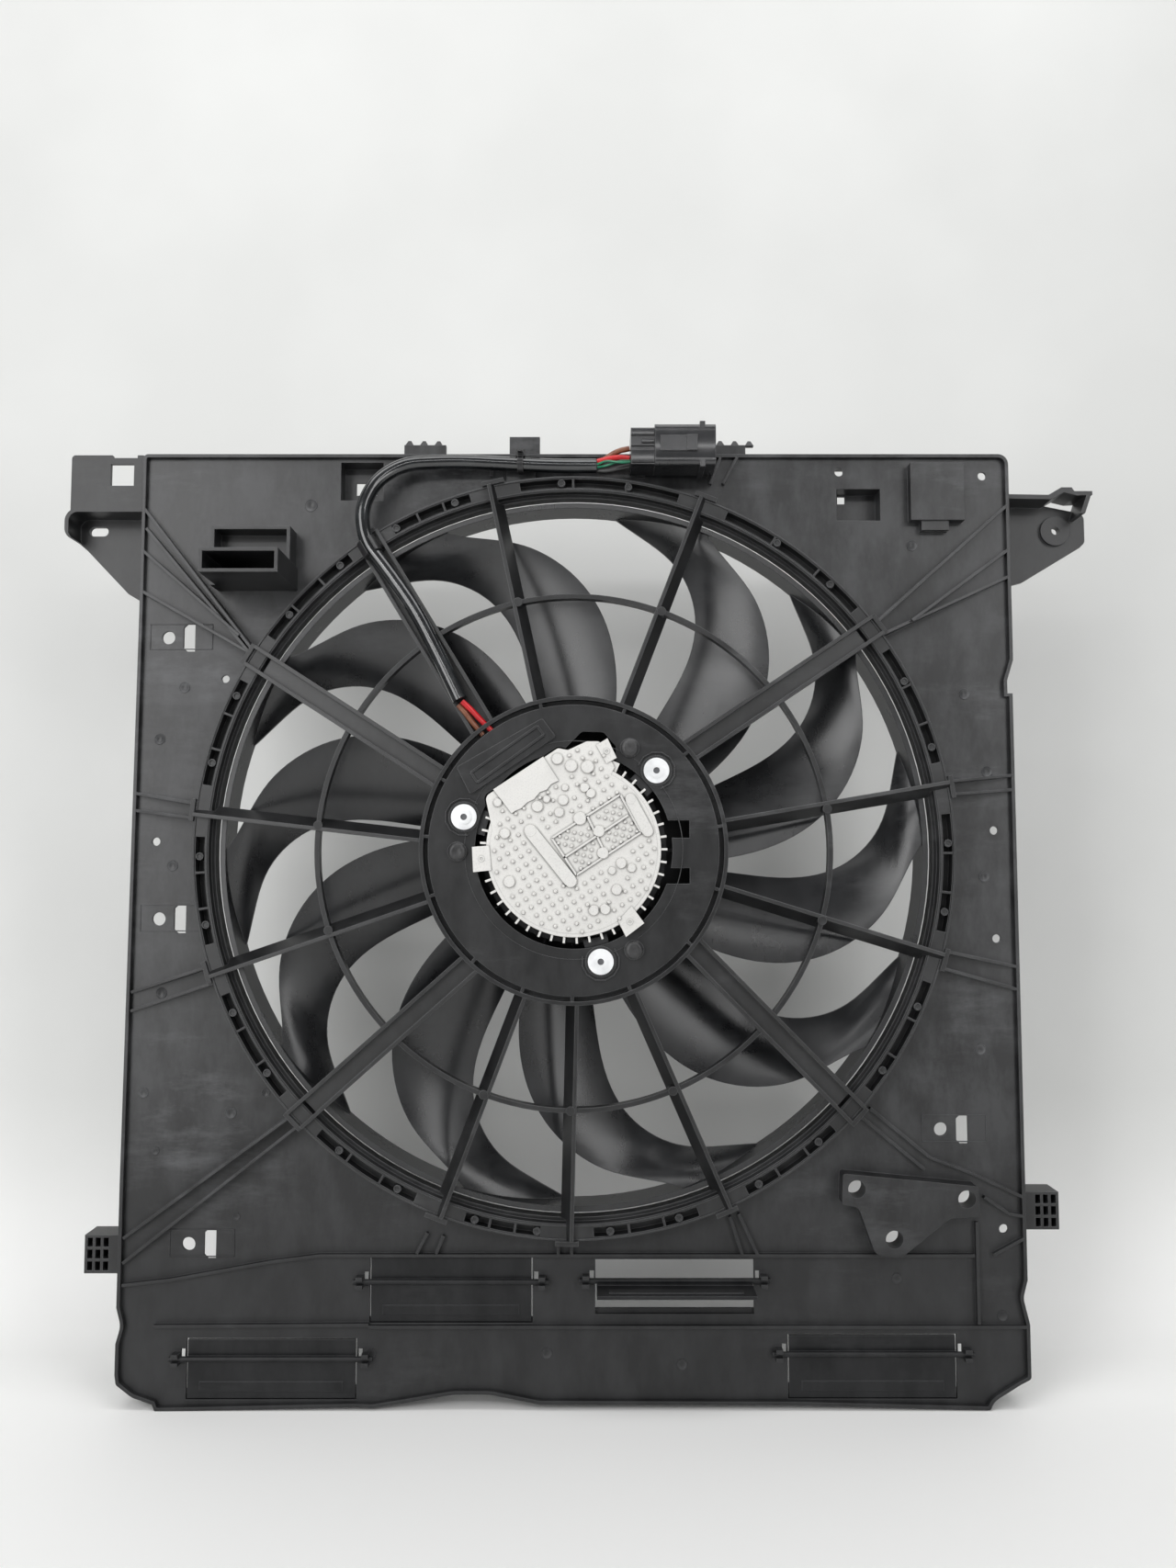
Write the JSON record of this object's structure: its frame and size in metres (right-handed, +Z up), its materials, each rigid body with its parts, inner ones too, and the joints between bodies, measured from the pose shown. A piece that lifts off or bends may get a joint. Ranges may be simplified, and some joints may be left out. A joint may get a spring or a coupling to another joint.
{
  "type": "radiator cooling fan module",
  "caption": "Car radiator cooling-fan module: moulded shroud, strut-held brushless motor, ring fan, ram-air flaps and a clipped lead to a plug connector.",
  "frame": {"origin": "on the fan axis, in the plane where the module seats against the radiator", "axes": "+X to the right seen from the engine side, +Z up, +Y towards the radiator; the engine side looks along -Y"},
  "size_m": [0.8024, 0.09, 0.7345],
  "materials": {
    "shroud": "fine-grained black glass-filled moulding",
    "flap": "fine-grained black moulding",
    "fan": "smooth black moulding",
    "connector": "satin black moulding",
    "sleeve": "smooth black sleeve",
    "tie": "black nylon",
    "cast_aluminium": "as cast, pale grey",
    "coated_aluminium": "black coated casting",
    "screw_steel": "bright zinc plated",
    "zinc_steel": "zinc plated",
    "bearing_steel": "ground steel",
    "dark_steel": "dark coated",
    "lamination": "stacked sheet steel",
    "magnet": "grey coated",
    "copper": "enamelled copper wire",
    "board": "green laminate",
    "chip": "moulded",
    "gasket": "soft",
    "red": "insulation",
    "brown": "insulation",
    "black_lead": "insulation",
    "green": "insulation",
    "terminal": "tinned"
  },
  "bodies": {
    "shroud": {"shroud_panel": "shroud", "shroud_rim": "shroud", "box_holder": "shroud", "shroud_barrel": "shroud", "motor_struts": "shroud", "stiffening_ring": "shroud", "motor_carrier": "shroud", "upper_ear_left": "shroud", "upper_ear_right": "shroud", "lower_peg_left": "shroud", "lower_peg_right": "shroud", "stator_core": "lamination", "stator_coils": "copper", "bearing_outer_rings": "bearing_steel", "bearing_spacer": "bearing_steel", "motor_base": "coated_aluminium", "motor_cover": "cast_aluminium", "cover_gasket": "gasket", "circuit_board": "board", "board_capacitors": "dark_steel", "power_transistors": "chip", "motor_screws": "screw_steel", "screw_bushes": "zinc_steel", "harness_sleeve": "sleeve", "lead_red": "red", "lead_brown": "brown", "lead_black": "black_lead", "leads_green": "green", "sleeve_clip": "shroud", "cable_tie": "tie", "connector_housing": "connector", "connector_terminals": "terminal", "connector_latch": "connector"},
    "fan": {"fan_hub": "fan", "fan_blades": "fan", "fan_ring": "fan", "fan_screws": "screw_steel", "rotor_can": "zinc_steel", "rotor_magnets": "magnet", "motor_shaft": "zinc_steel", "shaft_circlip": "dark_steel", "bearing_inner_rings": "bearing_steel"},
    "flap_upper_left": {"ram_flap_upper_left": "flap"},
    "flap_upper_right": {"ram_flap_upper_right": "flap"},
    "flap_lower_left": {"ram_flap_lower_left": "flap"},
    "flap_lower_right": {"ram_flap_lower_right": "flap"}
  },
  "joints": [
    {"name": "fan_spin", "type": "hinge", "parent": "shroud", "child": "fan", "pos_m": [0, 0, 0], "axis": [0, 1, 0], "continuous": true},
    {"name": "flap_upper_left_swing", "type": "hinge", "parent": "shroud", "child": "flap_upper_left", "pos_m": [-0.0911, -0.033, -0.3195], "axis": [-1, 0, 0], "range_deg": [0, 90]},
    {"name": "flap_upper_right_swing", "type": "hinge", "parent": "shroud", "child": "flap_upper_right", "pos_m": [0.0748, -0.033, -0.3187], "axis": [-1, 0, 0], "range_deg": [-90, 0]},
    {"name": "flap_lower_left_swing", "type": "hinge", "parent": "shroud", "child": "flap_lower_left", "pos_m": [-0.2236, -0.033, -0.375], "axis": [-1, 0, 0], "range_deg": [0, 90]},
    {"name": "flap_lower_right_swing", "type": "hinge", "parent": "shroud", "child": "flap_lower_right", "pos_m": [0.2209, -0.033, -0.3715], "axis": [-1, 0, 0], "range_deg": [0, 90]}
  ]
}
